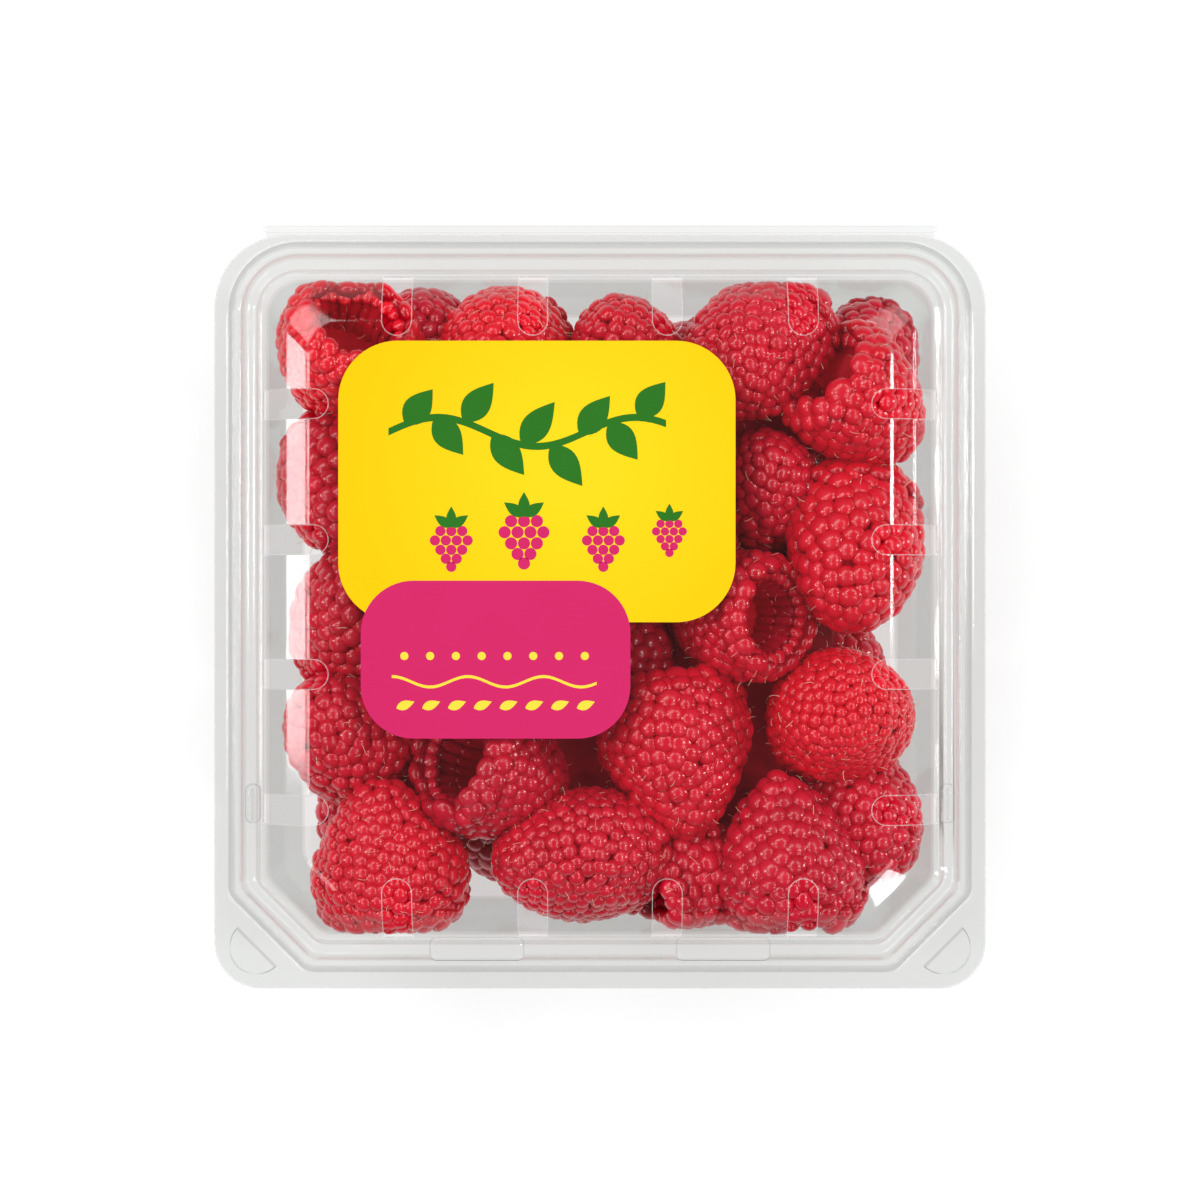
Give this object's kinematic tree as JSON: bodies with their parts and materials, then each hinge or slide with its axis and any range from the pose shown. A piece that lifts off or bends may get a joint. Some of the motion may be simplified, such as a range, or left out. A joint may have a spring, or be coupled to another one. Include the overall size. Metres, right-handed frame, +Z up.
{
  "type": "punnet of raspberries",
  "caption": "Square clear clamshell punnet with a vented, hinged lid and a sticker, filled with raspberries.",
  "frame": {"origin": "centre of the bounding box at the underside of the tray's floor", "axes": "+X to the pack's right, +Y towards the hinge side, +Z up through the lid"},
  "size_m": [0.118, 0.1168, 0.042],
  "materials": {
    "clear_plastic": "clear thermoformed PET sheet, glossy",
    "label_paper": "coated sticker, yellow and magenta",
    "raspberry": "soft fruit with a low sheen"
  },
  "bodies": {
    "tray": {"tray": "clear_plastic", "berries": "raspberry"},
    "lid": {"lid": "clear_plastic", "label": "label_paper"}
  },
  "joints": [
    {"name": "lid_hinge", "type": "hinge", "parent": "tray", "child": "lid", "pos_m": [0, 0.0578, 0.033], "axis": [-1, 0, 0], "range_deg": [0, 180]}
  ]
}
